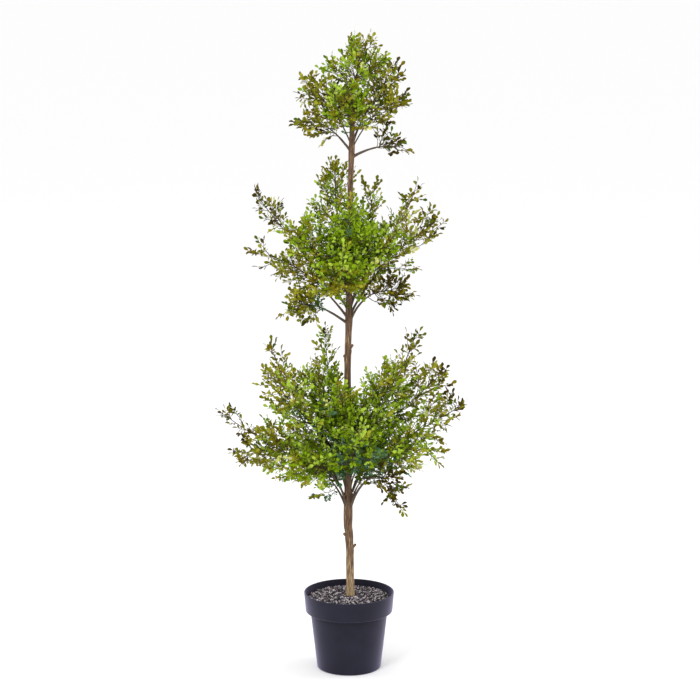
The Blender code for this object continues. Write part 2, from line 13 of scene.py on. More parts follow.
import bmesh
import bpy
import numpy as np
from mathutils import Matrix, Vector, noise
from mathutils.geometry import interpolate_bezier, intersect_point_line


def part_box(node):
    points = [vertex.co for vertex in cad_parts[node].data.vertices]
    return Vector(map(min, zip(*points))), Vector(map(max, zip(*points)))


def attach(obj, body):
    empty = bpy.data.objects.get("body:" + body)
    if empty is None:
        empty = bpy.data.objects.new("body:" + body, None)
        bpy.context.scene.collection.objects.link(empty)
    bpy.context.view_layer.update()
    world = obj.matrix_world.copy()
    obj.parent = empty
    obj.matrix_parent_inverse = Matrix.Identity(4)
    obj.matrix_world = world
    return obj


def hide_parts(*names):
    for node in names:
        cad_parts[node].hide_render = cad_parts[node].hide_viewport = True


SEED = 31
MM = 0.001
UP = Vector((0, 0, 1))

# ---------- the solids' own plan, in metres

POT_WALL = 0.0028
POT_FLOOR = 0.0035
POT_COLLAR_HEIGHT = 0.046
POT_COLLAR_FOOT_RADIUS = 0.1024
POT_BODY_TOP_RADIUS = 0.0911
POT_BASE_RADIUS = 0.0752
POT_BASE_ROUNDING = 0.004

FILL_EDGE_DEPTH = 0.017  # below the pot's rim
FILL_CROWN_DEPTH = 0.009
FILL_FLAT_RADIUS = 0.020

CLEARANCE = 0.0003  # between a bough and the stem of its foliage
TRUNK_TIP = 1.365
TRUNK_RADII = (0.0094, 0.0056)  # at its foot and at its tip
TRUNK_POINT_RADIUS = 0.0034  # at the very tip, above the last boughs
TRUNK_POINT_LENGTH = 0.050
FLARE = 0.0012  # what the root flare adds to the stem's radius at its foot
FLARE_HEIGHT = 0.012
FOOT_OFFSET = (0.0033, 0.0)
# Above its foot, the knots of the stem's gentle meander: height, offset to +X, offset to +Y.
TRUNK_COURSE = (
    (0.270, 0.0020, 0.001),
    (0.318, 0.0008, 0.001),
    (0.346, -0.0024, 0.002),
    (0.400, -0.0020, 0.002),
    (0.720, -0.0032, -0.001),
    (0.860, 0.0000, -0.002),
    (1.120, 0.0028, 0.000),
    (1.280, 0.0070, 0.001),
    (TRUNK_TIP, 0.0085, 0.000),
)
# Where a tier's boughs leave, the stem thickens: height, swelling, and how far it spreads.
TIER_COLLARS = (
    (0.376, 0.0019, 0.042),
    (0.842, 0.0012, 0.030),
    (1.228, 0.0011, 0.024),
)

# Pruned side shoots left on the stem: height, azimuth, pitch, length.
STUBS = (
    (0.284, 20, 42, 0.0115),
    (0.312, 175, 44, 0.0100),
    (0.746, 172, 35, 0.0048),
    (0.763, 8, 52, 0.0120),
)

BOUGH_RADII = (0.0032, 0.0021)  # at its root and at its end
BOUGH_PITCH_LIMITS = (28, 80)  # degrees at which a bough leaves the stem
BOUGH_SECTIONS = 5
PATH_POINTS = 41

# Azimuth, height where the spray leaves the stem, reach and height of its tip, pitch of its tip.
SPRAYS = {
    "lower": {
        "left_far": (180, 0.386, 0.272, 0.598, 38),
        "left_low": (196, 0.372, 0.242, 0.539, -4),
        "left_high": (157, 0.41, 0.19, 0.736, 70),
        "back_left": (116, 0.398, 0.125, 0.755, 80),
        "right_high": (43, 0.43, 0.2, 0.748, 68),
        "right_far": (1, 0.388, 0.238, 0.618, 32),
        "right_low": (338, 0.37, 0.202, 0.546, -4),
        "front_right": (320, 0.364, 0.141, 0.437, -66),
        "front_left": (230, 0.366, 0.166, 0.507, -16),
        "left_upper": (205, 0.428, 0.188, 0.706, 54),
        "right_upper": (19, 0.412, 0.214, 0.68, 40),
        "back": (88, 0.384, 0.205, 0.59, 20),
        "back_low_right": (58, 0.39, 0.178, 0.495, -12),
        "back_low_left": (136, 0.382, 0.19, 0.505, -8),
        "front": (278, 0.404, 0.165, 0.585, 24),
        "inner_front": (258, 0.452, 0.08, 0.665, 64),
        "inner_left": (172, 0.466, 0.084, 0.692, 68),
        "inner_right": (350, 0.46, 0.102, 0.704, 64),
    },
    "middle": {
        "left_high": (166, 0.852, 0.204, 1.1, 54),
        "left_far": (182, 0.838, 0.196, 0.99, 10),
        "left_mid": (196, 0.862, 0.13, 0.954, 8),
        "left_low": (200, 0.827, 0.134, 0.874, -26),
        "back_left": (114, 0.868, 0.082, 1.155, 82),
        "back_right": (60, 0.872, 0.11, 1.105, 74),
        "right_high": (24, 0.856, 0.16, 1.112, 66),
        "right_far": (358, 0.843, 0.18, 1.052, 34),
        "right_mid": (346, 0.876, 0.114, 0.99, 24),
        "right_low": (334, 0.827, 0.126, 0.911, -10),
        "left_upper": (208, 0.888, 0.132, 1.046, 46),
        "right_upper": (328, 0.89, 0.106, 1.03, 50),
        "back": (88, 0.842, 0.165, 1.000, 20),
        "front": (262, 0.85, 0.132, 0.98, 18),
        "inner_front": (274, 0.912, 0.06, 1.085, 74),
    },
    "upper": {
        "left_high": (163, 1.238, 0.084, 1.366, 40),
        "left_low": (194, 1.226, 0.092, 1.298, -2),
        "right_high": (26, 1.238, 0.104, 1.396, 54),
        "right_far": (4, 1.232, 0.1, 1.338, 22),
        "right_low": (344, 1.214, 0.113, 1.243, -6),
        "back": (94, 1.242, 0.085, 1.345, 25),
        "front": (262, 1.25, 0.07, 1.356, 36),
    },
}
TOP_SPRAY_TIP = (0.033, 0.010, 1.450)
TOP_SPRAY_LEAN = (-0.004, 0.004, 0.0)
# Sprays whose foliage springs from the trunk itself.
BOUGHLESS = {
    "lower": ("left_upper", "right_upper", "back", "back_left", "back_low_left",
              "back_low_right", "front", "inner_front", "inner_left", "inner_right"),
    "middle": ("left_high", "left_mid", "left_upper", "right_mid", "right_upper",
               "back", "back_left", "back_right", "front", "inner_front"),
    "upper": ("left_high", "right_far", "back", "front"),
}

# How much steeper than its chord a spray leaves the stem, how hard its ends pull its course straight,
# the share of it that is bare, how many side twigs it has, and the length of the first.
TIER_HABIT = {
    "lower": (40, 0.4, 0.22, 7, 0.1),
    "middle": (16, 0.34, 0.24, 7, 0.088),
    "upper": (16, 0.34, 0.27, 6, 0.064),
    "top": (0, 0, 0, 7, 0.07),
}
OWN_HABIT = {
    "lower_front_right": (50, 0.6, 0.6, 7, 0.03),
    "lower_front_left": (40, 0.4, 0.34, 7, 0.062),
    "lower_left_low": (40, 0.4, 0.22, 7, 0.085),
    "lower_left_far": (40, 0.4, 0.22, 7, 0.085),
    "lower_left_high": (40, 0.4, 0.46, 6, 0.042),
    "lower_back_left": (40, 0.4, 0.22, 7, 0.036),
    "lower_right_high": (40, 0.4, 0.5, 6, 0.036),
    "lower_right_far": (40, 0.4, 0.22, 7, 0.085),
    "lower_right_low": (40, 0.4, 0.22, 7, 0.085),
    "lower_inner_front": (40, 0.4, 0.22, 7, 0.08),
    "lower_inner_right": (40, 0.4, 0.22, 7, 0.08),
    "middle_left_high": (16, 0.34, 0.72, 5, 0.028),
    "middle_left_far": (16, 0.34, 0.24, 7, 0.074),
    "middle_left_low": (16, 0.34, 0.44, 7, 0.032),
    "middle_right_high": (16, 0.34, 0.5, 6, 0.034),
    "middle_right_upper": (16, 0.34, 0.24, 7, 0.064),
    "middle_right_far": (16, 0.34, 0.24, 7, 0.074),
    "middle_right_low": (34, 0.42, 0.42, 7, 0.046),
    "upper_front": (16, 0.34, 0.16, 6, 0.058),
    "upper_right_low": (16, 0.34, 0.56, 6, 0.024),
    "upper_right_far": (16, 0.34, 0.36, 6, 0.046),
    "upper_left_low": (16, 0.34, 0.34, 6, 0.038),
}
STEM_SECTIONS = 5
TWIG_SHORTEST = 0.014
TWIG_RISE = 0.15  # how strongly a twig turns upwards
TWIG_MARKS = (0.3, 0.65, 1.0)  # shares of a twig at which its room is tried
TWIG_DRAWN_IN = 0.85  # how much shorter it gets at each try
TWIG_ROOM = 0.012
TWIG_TAPERING = 0.70  # how much shorter twigs get towards the stem's tip
TWIG_SPIRAL = math.radians(137.5)
TWIG_LEAN = (math.radians(66), math.radians(34))  # away from the stem, at its foot and at its tip
SPACE_SECTIONS = 12
NEAR_STEMS = 0.5  # difference in height within which another stem is looked at
NEAR_LIMBS = 0.3
SPACE_MARGIN = 0.0020
LIMB_MARGIN = 0.0020

# ---------- relief of pot, grit, stem and boughs

POT_NECK = 1.0 * MM  # depth of the shallow neck under the collar
POT_COLLAR_EDGE = 1.6 * MM  # rounding of the collar's lower edge
POT_STEPS = 128

STONE_FORMS = 6
STONE_SPACING = 3.5 * MM
STONE_SIZES = (3.0, 6.2)  # mm
STONE_LIFT = (-0.8, 1.2)  # mm above the mound
STONE_GAP = 3.5 * MM  # between the stem's foot and the stones nearest to it
STONE_COLOURS = {"grey": 0x68626C, "dark": 0x131117, "pale": 0xC2B9BD, "rose": 0x7C6B6C}
STONE_DEAL = (0, 0, 1, 1, 1, 1, 1, 2, 2, 3)  # the colours' numbers, as often as each is dealt

# Corners around and rings along.
STEM_GRID = (40, 300)
STUB_GRID = (14, 5)
BOUGH_GRID = (12, 26)
# Relief on bark: its height, how closely it repeats around and along, and where it starts.
STEM_FIBRES = (0.55 * MM, 4.2, 16, 0)
STEM_LUMPS = (0.45 * MM, 1.1, 34, 7)
BOUGH_LUMPS = (0.35 * MM, 1.6, 60)
BOUGH_SWELLING = 1.6 * MM  # where a bough leaves the stem
BOUGH_SWELLING_SPREAD = 0.14  # share of the bough's length
STUB_RADII = (4.0 * MM, 2.8 * MM)
STUB_BULGE = 1.3 * MM  # of the stem, round a stub's foot
STUB_BULGE_HEIGHT = 7 * MM
STUB_BULGE_WIDTH = 0.18  # as 1 less the cosine of an angle
STUB_UNEVENNESS = 0.22
PALE_UP_TO = (0.22, 0.31)  # heights between which the stem's bark turns from pale to brown

# ---------- the finer growth

STEM_RADII = (1.9 * MM, 0.7 * MM)
TWIG_RADII = (1.15 * MM, 0.55 * MM)
FINER_TWIG_RADII = (0.95 * MM, 0.50 * MM)
SPRIG_RADII = (0.60 * MM, 0.38 * MM)
STEM_RUN_ON = 22 * MM  # a stem goes on this far past the solid one's end
TWIG_RUN_ON = 0.28  # and a twig by this share of its length
FINER_TWIG_ROOM = 4 * MM
# The finer growth on each stem: how many finer twigs it has, the shares of the stem between which
# they and its sprigs grow, how far out its foot counts, and how withered its leaves are at least.
TIER_GROWTH = {
    "lower": (28, 0, 0.68, 0, 0),
    "middle": (24, 0, 0.68, 0, 0),
    "upper": (21, 0, 0.68, 0, 0),
    "top": (18, 0, 0.7, 0.3, 0),
}
OWN_GROWTH = {
    "lower_front_right": (14, 0.1, 0.97, 0.7, 0.85),
    "lower_front_left": (26, 0, 0.9, 0.3, 0),
    "lower_left_low": (34, 0, 0.92, 0, 0),
    "lower_left_far": (24, 0, 0.62, 0, 0),
    "lower_left_high": (20, 0, 0.97, 0.6, 0),
    "lower_back_left": (18, 0.3, 0.94, 0, 0),
    "lower_right_high": (18, 0.2, 0.97, 0.6, 0),
    "lower_right_far": (32, 0, 0.92, 0, 0),
    "lower_right_low": (28, 0, 0.8, 0, 0),
    "lower_right_upper": (40, 0, 0.94, 0, 0),
    "lower_left_upper": (32, 0, 0.88, 0, 0),
    "lower_inner_left": (34, 0, 0.92, 0, 0),
    "lower_inner_right": (40, 0, 0.92, 0, 0),
    "lower_inner_front": (34, 0, 0.8, 0, 0),
    "middle_left_high": (10, 0.74, 0.98, 0, 0),
    "middle_left_mid": (18, 0, 0.68, 0, 0),
    "middle_left_upper": (34, 0, 0.86, 0, 0),
    "middle_left_low": (26, 0, 0.96, 0.5, 0),
    "middle_right_low": (20, 0, 0.94, 0.5, 0.81),
    "middle_right_high": (7, 0.3, 0.95, 0.6, 0),
    "middle_right_upper": (34, 0, 0.86, 0, 0),
    "middle_right_far": (30, 0, 0.96, 0, 0),
    "middle_back_left": (24, 0, 0.92, 0, 0),
    "middle_back_right": (18, 0.3, 0.68, 0, 0),
    "upper_left_high": (26, 0, 0.88, 0, 0),
    "upper_right_high": (26, 0, 0.88, 0, 0),
    "upper_right_far": (32, 0, 0.95, 0, 0),
    "upper_right_low": (16, 0, 0.99, 0.9, 0.85),
    "upper_left_low": (20, 0, 0.86, 0.3, 0),
}
FRONT_FLATNESS = 0.5  # how much depth in front of the stem counts, against width
HEART = 0.30  # share of a spray's length that lies in the heart of its tier
SLENDER_REACH = 0.62  # share of its tier's reach from which a spray is wholly slender
# Each pair is the value in the heart of a tier, and at its furthest tips.
SPRIG_SPACING = (8.5 * MM, 13.5 * MM)
SPRIG_LENGTH = (31 * MM, 15 * MM)
LEAF_STEP = (4.2 * MM, 5.6 * MM)
LEAF_LENGTH = (10.9 * MM, 15.2 * MM)
SPRIG_LEAN = math.radians(52)
SPRIG_BEND = 0.18
SPRIG_SIZES = (0.70, 1.15)  # least and greatest share of the length that its place gives it
LEAF_LEAN = math.radians(48)
LEAF_SIZES = (0.70, 1.08)
LEAF_START = 0.22  # share of a sprig that is bare
LEAF_RUN = 0.76  # share of it that carries side leaves
LEAF_CLEAR = 3.0 * MM  # a leaf's middle from the stem's bark
LEAF_SIDES = 10
# Width, fold and arch of each form of leaf, as shares of its length.
LEAF_SHAPES = ((0.54, 0.30, 0.06), (0.60, 0.12, 0.10), (0.50, 0.45, 0.02), (0.58, 0.22, -0.05))
# What turns a leaf's face: outward from the stem, upward, and at random.
LEAF_OUTWARD = 0.55
LEAF_UPWARD = 0.65
LEAF_TUMBLE = 0.75
TWIG_LEAFY_FROM = 0.14  # share of a side twig at which its sprigs start
TWIG_BOW = 0.10
PATCH_REACH = 0.62  # from here outwards each sprig has a tone of its own
PATCH_SHARE = 0.6  # share of the sprigs nearer in that take their twig's tone
# Each tier's reach, the height of its foot, how tall it is, how far out its greens go, how deep in
# its shade its leaves take the painted-shade tones, bluer and darker, and how far to the right the
# middle of that painted shade lies.
TIER_SHAPES = {
    "lower": (0.30, 0.42, 0.33, 0.82, 0.30, 0.035),
    "middle": (0.23, 0.88, 0.29, 0.76, 0.68, -0.040),
    "upper": (0.14, 1.26, 0.23, 0.66, 0.74, 0.010),
}
HEIGHT_WEIGHT = 1.5  # how much height from a tier's middle counts, against width
GREEN_FADE = 0.5  # how far it is from all green to none
GREEN_MOST = 0.96
BROWN_REACH = 0.86  # share of a tier's reach at which its tips are wholly browned
# The tier's shade, where leaves get painted shade: bluer and darker tones.
SHADE_REACH = 0.80  # share of a tier's reach at which its shade ends
SHADE_HEIGHT = 0.16
SHADE_ABOVE = 0.25  # what is left of the shade above that height
SHADE_NARROWNESS = 1.5  # how much width counts in it, against depth
WITHERED = 0.80  # above this a place's leaves have browned
YELLOWED = -0.2  # the least green at which they are yellowed, and not mixed
MOODS = (0.45, 0.80)  # below the first a twig's greens are fresh, below the second grassy
# bluish twigs are painted shade, kept to the shaded heart of a tier
BLUISH_GREEN = 0.90  # the least green at which its other twigs are bluish

# Leaf tones, from the fresh growth in the light to the browned tips. Fresh and pale are partly painted
# highlight: paler, like the sheen on lit leaves.
LEAF_TONES = {
    "fresh": 0xA6C140,
    "grass": 0x82A012,
    "deep": 0x4A5E04,
    # blue: painted shade, for leaves deep in a tier's shade
    "blue": 0x527650,
    # pale is partly painted highlight, the light sheen of lit leaves
    "pale": 0xCACC74,
    "bright": 0x9A982A,
    "mid": 0x737508,
    "olive": 0x766C0A,
    "brown": 0x423808,
}
TONE_NAMES = list(LEAF_TONES)
TONE_ODDS = {
    "withered": {"brown": 0.42, "olive": 0.24, "deep": 0.20, "mid": 0.14},
    # painted shade: the tones of leaves deep in a tier's heart and foot
    "shaded": {"blue": 0.58, "deep": 0.18, "grass": 0.24},
    "fresh": {"fresh": 0.48, "grass": 0.38, "deep": 0.12, "pale": 0.02},
    "grassy": {"grass": 0.56, "fresh": 0.26, "deep": 0.16, "pale": 0.02},
    # painted shade: bluish tones for twigs in a tier's heart, where shade falls
    "bluish": {"blue": 0.34, "deep": 0.24, "grass": 0.42},
    "yellowed": {"bright": 0.44, "mid": 0.34, "olive": 0.17, "pale": 0.05},
    "mixed": {
        "mid": 0.30, "bright": 0.18, "olive": 0.26, "deep": 0.14, "brown": 0.08, "pale": 0.04,
    },
}

# ---------- camera and light

CAMERA_PLACE = (0.0023, -6.0, 2.0)
CAMERA_AIM = (0.0023, 0.0, 0.7656)
FOCAL_LENGTH = 136.0  # mm
FRAME_WIDTH = 36.0  # mm


# ---------- materials

def linear(hex_colour):
    """An sRGB hex colour as linear red, green, blue and alpha."""
    channels = [(hex_colour >> shift & 255) / 255 for shift in (16, 8, 0)]
    return [c / 12.92 if c <= 0.04045 else ((c + 0.055) / 1.055) ** 2.4 for c in channels] + [1.0]


def add_node(tree, kind, values=None, links=None, **settings):
    """Adds a node, sets its settings and its sockets' values, and links other nodes' sockets in."""
    node = tree.nodes.new(kind)
    for name, value in settings.items():
        setattr(node, name, value)
    for socket, value in (values or {}).items():
        node.inputs[socket].default_value = value
    for socket, source in (links or {}).items():
        tree.links.new(source, node.inputs[socket])
    return node


def new_material(name, hex_colour, roughness, **others):
    """A plain Principled material, its tree and its shader.  others are more of its sockets."""
    made = bpy.data.materials.new(name)
    made.use_nodes = True
    shader = made.node_tree.nodes["Principled BSDF"]
    values = {"Base Color": linear(hex_colour), "Roughness": roughness, **others}
    for socket, value in values.items():
        shader.inputs[socket].default_value = value
    return made, made.node_tree, shader


def object_place(tree):
    return add_node(tree, "ShaderNodeTexCoord").outputs["Object"]


def speckle(tree, place, size_mm, detail):
    """Noise whose grain is size_mm across, as a factor."""
    values = {"Scale": 1 / (size_mm * MM), "Detail": detail}
    return add_node(tree, "ShaderNodeTexNoise", values, {"Vector": place}).outputs["Fac"]


def tint(tree, shader, factor, stops):
    """Colours the shader by a factor, through a ramp of stops: place, sRGB hex colour."""
    ramp = add_node(tree, "ShaderNodeValToRGB", links={"Fac": factor})
    elements = ramp.color_ramp.elements
    while len(elements) < len(stops):
        elements.new(0.5)
    for element, (place, hex_colour) in zip(elements, stops):
        element.position = place
        element.color = linear(hex_colour)
    tree.links.new(ramp.outputs["Color"], shader.inputs["Base Color"])


def emboss(tree, shader, factor, strength, depth_mm):
    """Gives the shader relief from a factor."""
    values = {"Strength": strength, "Distance": depth_mm * MM}
    relief = add_node(tree, "ShaderNodeBump", values, {"Height": factor})
    tree.links.new(relief.outputs["Normal"], shader.inputs["Normal"])


def leaf_plastic(tone):
    """Moulded polyethylene leaf: a soft satin face, one dye lot for each sprig."""
    gloss = {"Specular IOR Level": 0.06}
    return new_material(f"leaf_polyethylene_{tone}", LEAF_TONES[tone], 0.50, **gloss)[0]


def twig_plastic():
    """Brown polyethylene over wire: matt, with no pattern that shows at this size."""
    return new_material("twig_polyethylene", 0x4E3E24, 0.62)[0]


def stem_bark(name, stops, grain_mm, grain_length_mm, paler_foot=0.0):
    """Bark-textured resin on the stem: fibres that run up it, with darker flecks in the grain.

    paler_foot is how far the tints shift towards the pale end at the stem's foot.
    """
    made, tree, shader = new_material(name, stops[1][1], 0.74)
    place = object_place(tree)
    scale = (1 / grain_mm, 1 / grain_mm, 1 / grain_length_mm)
    stretched = add_node(
        tree, "ShaderNodeMapping", {"Scale": [s / MM for s in scale]}, {"Vector": place}
    )
    fibres = add_node(
        tree, "ShaderNodeTexNoise", {"Scale": 1.0, "Detail": 4.0, "Roughness": 0.62},
        {"Vector": stretched.outputs["Vector"]},
    ).outputs["Fac"]
    height = add_node(tree, "ShaderNodeSeparateXYZ", links={"Vector": place}).outputs["Z"]
    shift = add_node(
        tree, "ShaderNodeMapRange",
        {"From Min": PALE_UP_TO[0], "From Max": PALE_UP_TO[1], "To Min": paler_foot, "To Max": 0.0},
        {"Value": height},
    )
    shifted = add_node(tree, "ShaderNodeMath", operation="ADD")
    tree.links.new(fibres, shifted.inputs[0])
    tree.links.new(shift.outputs["Result"], shifted.inputs[1])
    tint(tree, shader, shifted.outputs["Value"], stops)
    emboss(tree, shader, fibres, 0.5, 0.6)
    return made


def pot_plastic():
    """Injection-moulded polypropylene, anthracite with a violet cast: satin, with a fine grain."""
    gloss = {
        "Specular IOR Level": 0.14, "Sheen Weight": 0.95, "Sheen Roughness": 0.38,
        "Sheen Tint": linear(0xB4ACD8),
    }
    made, tree, shader = new_material("moulded_polypropylene", 0x1C1C29, 0.42, **gloss)
    place = object_place(tree)
    tint(tree, shader, speckle(tree, place, 45, 3.0), ((0.30, 0x191925), (0.70, 0x1F1F2D)))
    emboss(tree, shader, speckle(tree, place, 0.9, 2.0), 0.25, 0.15)
    return made


def fill_soil():
    """The fines between the stones of the grit, near black: partly their own dark colour, partly painted
    shade for the gaps between the stones.
    """
    made, tree, shader = new_material("grit_fines", 0x171415, 0.9)
    crumbs = speckle(tree, object_place(tree), 2.5, 4.0)
    tint(tree, shader, crumbs, ((0.35, 0x0C0A0B), (0.70, 0x2E292A)))
    return made


# ---------- mesh helpers

def add_object(name, data):
    made = bpy.data.objects.new(name, data)
    bpy.context.scene.collection.objects.link(made)
    return made


def add_piece(name, mesh, materials, nodes):
    """Puts a finished mesh in the scene, as a piece that rides on the plant and replaces nodes."""
    piece = add_object(name, mesh)
    for material in materials:
        mesh.materials.append(material)
    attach(piece, "root")
    if nodes:
        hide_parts(*nodes)


def mesh_from(bm, name):
    made = bpy.data.meshes.new(name)
    bm.to_mesh(made)
    bm.free()
    return made


def smooth(mesh, sharp_degrees=50):
    """Shades a mesh smooth, apart from edges that turn by more than an angle."""
    mesh.shade_smooth()
    mesh.set_sharp_from_angle(angle=math.radians(sharp_degrees))


def arc(centre, radius, start, turn, steps):
    """Points of an arc about the centre, from the angle start through the angle turn."""
    angles = [start + turn * i / steps for i in range(steps + 1)]
    return [(centre[0] + radius * math.cos(a), centre[1] + radius * math.sin(a)) for a in angles]


def corners_and_faces(bm):
    """A bmesh of triangles as two arrays."""
    bm.verts.index_update()
    corners = np.array([v.co for v in bm.verts])
    faces = np.array([[v.index for v in f.verts] for f in bm.faces])
    bm.free()
    return corners, faces


def join_copies(name, forms, copies):
    """One mesh of many copies.  Each copy is (form's number, 3x3 matrix, place, material's number)."""
    corners, faces, slots = [], [], []
    start = 0
    for number, matrix, place, slot in copies:
        form_corners, form_faces = forms[number]
        corners.append(form_corners @ np.array(matrix).T + np.array(place))
        faces.append(form_faces + start)
        slots.append(np.full(len(form_faces), slot))
        start += len(form_corners)
    mesh = bpy.data.meshes.new(name)
    mesh.from_pydata(np.concatenate(corners), [], np.concatenate(faces))
    mesh.polygons.foreach_set("material_index", np.concatenate(slots).astype(np.int32))
    mesh.update()
    return mesh


def tubes_mesh(name, tubes, half_ring):
    """One mesh of many tapering tubes, each a list of points and a list of radii."""
    curve = bpy.data.curves.new(name, "CURVE")
    curve.dimensions = "3D"
    curve.twist_mode = "MINIMUM"
    curve.bevel_depth = 1.0
    curve.bevel_resolution = half_ring
    curve.use_fill_caps = True
    for points, radii in tubes:
        spline = curve.splines.new("POLY")
        spline.points.add(len(points) - 1)
        for knot, point, radius in zip(spline.points, points, radii):
            knot.co = (*point, 1.0)
            knot.radius = radius
    guide = add_object(name, curve)
    graph = bpy.context.evaluated_depsgraph_get()
    mesh = bpy.data.meshes.new_from_object(guide.evaluated_get(graph))
    bpy.data.objects.remove(guide)
    bm = bmesh.new()
    bm.from_mesh(mesh)
    bmesh.ops.remove_doubles(bm, verts=bm.verts, dist=0.002 * MM)
    bmesh.ops.recalc_face_normals(bm, faces=bm.faces)
    bm.to_mesh(mesh)
    bm.free()
    mesh.shade_smooth()
    return mesh


def add_limb(bm, sides, rings, surface):
    """Adds a closed limb: a cylinder cut into rings, whose every corner surface(share, angle) places."""
    limb = bmesh.new()
    bmesh.ops.create_cone(limb, cap_ends=True, segments=sides, radius1=1.0, radius2=1.0, depth=1.0)
    upright = [edge for edge in limb.edges if abs(edge.verts[0].co.z - edge.verts[1].co.z) > 0.5]
    bmesh.ops.subdivide_edges(limb, edges=upright, cuts=rings - 1)
    for corner in limb.verts:
        x, y, z = corner.co
        corner.co = surface(z + 0.5, math.atan2(y, x))
    mesh = mesh_from(limb, "limb")
    bm.from_mesh(mesh)
    bpy.data.meshes.remove(mesh)


# ---------- the plan of stem, boughs and twigs

def between(pair, share):
    """The value at a share of the way from the pair's first to its second."""
    return pair[0] + (pair[1] - pair[0]) * share


def trunk_centre(height):
    """The stem's centre line, eased between the knots of its course."""
    knots = ((TRUNK_FOOT, *FOOT_OFFSET), *TRUNK_COURSE)
    for low, high in zip(knots, knots[1:]):
        if height <= high[0] or high is knots[-1]:
            share = (height - low[0]) / (high[0] - low[0])
            ease = share * share * (3 - 2 * share)
            x = between((low[1], high[1]), ease)
            y = between((low[2], high[2]), ease)
            return Vector((x, y, height))


def trunk_radius(height):
    """The stem's radius, with its taper, root flare, tier swellings and drawn-in tip."""
    share = (height - TRUNK_FOOT) / (TRUNK_TIP - TRUNK_FOOT)
    radius = between(TRUNK_RADII, share)
    radius += FLARE * math.exp(-(height - TRUNK_FOOT) / FLARE_HEIGHT)
    for collar, swelling, spread in TIER_COLLARS:
        radius += swelling * math.exp(-(((height - collar) / spread) ** 2))
    to_tip = max(0.0, 1 - (TRUNK_TIP - height) / TRUNK_POINT_LENGTH)
    return radius + (TRUNK_POINT_RADIUS - radius) * to_tip


def heading(azimuth, pitch):
    """The unit vector at an azimuth and a pitch in degrees."""
    turn = math.radians(azimuth)
    tilt = math.radians(pitch)
    flat = math.cos(tilt)
    return Vector((math.cos(turn) * flat, math.sin(turn) * flat, math.sin(tilt)))


def spray_path(row, habit):
    """The course of a bough and of the stem of its foliage, from the trunk's centre to the tip."""
    azimuth, root_height, reach, tip_height, tip_pitch = row
    steeper, pull = habit[:2]
    root = trunk_centre(root_height)
    tip = heading(azimuth, 0) * reach + UP * tip_height
    chord = tip - root
    chord_pitch = math.degrees(math.atan2(chord.z, chord.xy.length))
    low, high = BOUGH_PITCH_LIMITS
    leave_pitch = min(high, max(low, chord_pitch + steeper))
    handle = pull * chord.length
    leave = root + heading(azimuth, leave_pitch) * handle
    arrive = tip - heading(azimuth, tip_pitch) * handle
    return interpolate_bezier(root, leave, arrive, tip, PATH_POINTS)


def split_path(path, share):
    """The path's points up to the share, and the rest, which starts CLEARANCE further on."""
    cut = round(share * (len(path) - 1))
    ahead = (path[cut + 1] - path[cut]).normalized()
    return path[: cut + 1], [path[cut] + ahead * CLEARANCE] + path[cut + 1:]


def top_path():
    tip = Vector(TOP_SPRAY_TIP)
    start = trunk_centre(TRUNK_TIP) + UP * CLEARANCE
    third = UP * ((tip.z - start.z) / 3)
    arrive = tip - third + Vector(TOP_SPRAY_LEAN)
    return interpolate_bezier(start, start + third, arrive, tip, PATH_POINTS)


def plan_sprays():
    """The bare part of each path, its leafy stem, and its habit, by the spray's name."""
    bare, stems, habits = {}, {}, {}
    for tier, rows in SPRAYS.items():
        for side, row in rows.items():
            name = f"{tier}_{side}"
            habits[name] = OWN_HABIT.get(name, TIER_HABIT[tier])
            path = spray_path(row, habits[name])
            if side in BOUGHLESS[tier]:
                stems[name] = path
            else:
                bare[name], stems[name] = split_path(path, habits[name][2])
    stems["top"] = top_path()
    habits["top"] = TIER_HABIT["top"]
    return bare, stems, habits


def every(points, count):
    """count of the points, evenly chosen, with both ends kept."""
    last = len(points) - 1
    return [points[round(i * last / (count - 1))] for i in range(count)]


def distance_to(point, line):
    best = math.inf
    for first, second in zip(line, line[1:]):
        near, share = intersect_point_line(point, first, second)
        if share < 0:
            near = first
        elif share > 1:
            near = second
        best = min(best, (point - near).length)
    return best


class Space:
    """The room that one mass of foliage keeps to: nearer its own stem than any other stem."""

    def __init__(self, name, stems, limbs):
        self.own = stems[name]
        self.others = [
            stem for other, stem in stems.items()
            if other != name and abs(stem[0].z - self.own[0].z) < NEAR_STEMS
        ]
        self.limbs = [limb for limb in limbs if abs(limb[0].z - self.own[0].z) < NEAR_LIMBS]

    def clear_of_limbs(self, point):
        if point.z < TRUNK_TIP + LIMB_MARGIN:
            height = min(point.z, TRUNK_TIP)
            if (point - trunk_centre(height)).length < trunk_radius(height) + LIMB_MARGIN:
                return False
        return all(distance_to(point, limb) > BOUGH_RADII[0] + LIMB_MARGIN for limb in self.limbs)

    def holds(self, point, girth):
        """Whether something girth thick at the point stays inside this mass's room."""
        limit = distance_to(point, self.own) + 2 * (SPACE_MARGIN + girth)
        if any(distance_to(point, stem) < limit for stem in self.others):
            return False
        return self.clear_of_limbs(point)


def square_to(direction, roll):
    """A unit vector square to direction, turned by roll about it from the upward side."""
    up = UP if abs(direction.z) < 0.95 else Vector((1, 0, 0))
    side = (up - direction * up.dot(direction)).normalized()
    return Matrix.Rotation(roll, 3, direction) @ side


def at_share(course, share):
    """The point at a share of the course's sections, and the direction there."""
    at = share * (len(course) - 1)
    low = min(int(at), len(course) - 2)
    run = course[low + 1] - course[low]
    return course[low] + run * (at - low), run.normalized()


def grow_twig(space, course, share, length, roll, room):
    """A side twig's foot, tip and share of its stem, drawn in until it has room, or nothing."""
    foot, ahead = at_share(course, share)
    lean = between(TWIG_LEAN, share)
    way = ahead * math.cos(lean) + square_to(ahead, roll) * math.sin(lean)
    way = (way + UP * TWIG_RISE).normalized()
    while length > TWIG_SHORTEST:
        marks = [foot + way * (length * part) for part in TWIG_MARKS]
        if all(space.holds(mark, room) for mark in marks):
            return [(foot, marks[-1], share)]
        length *= TWIG_DRAWN_IN
    return []


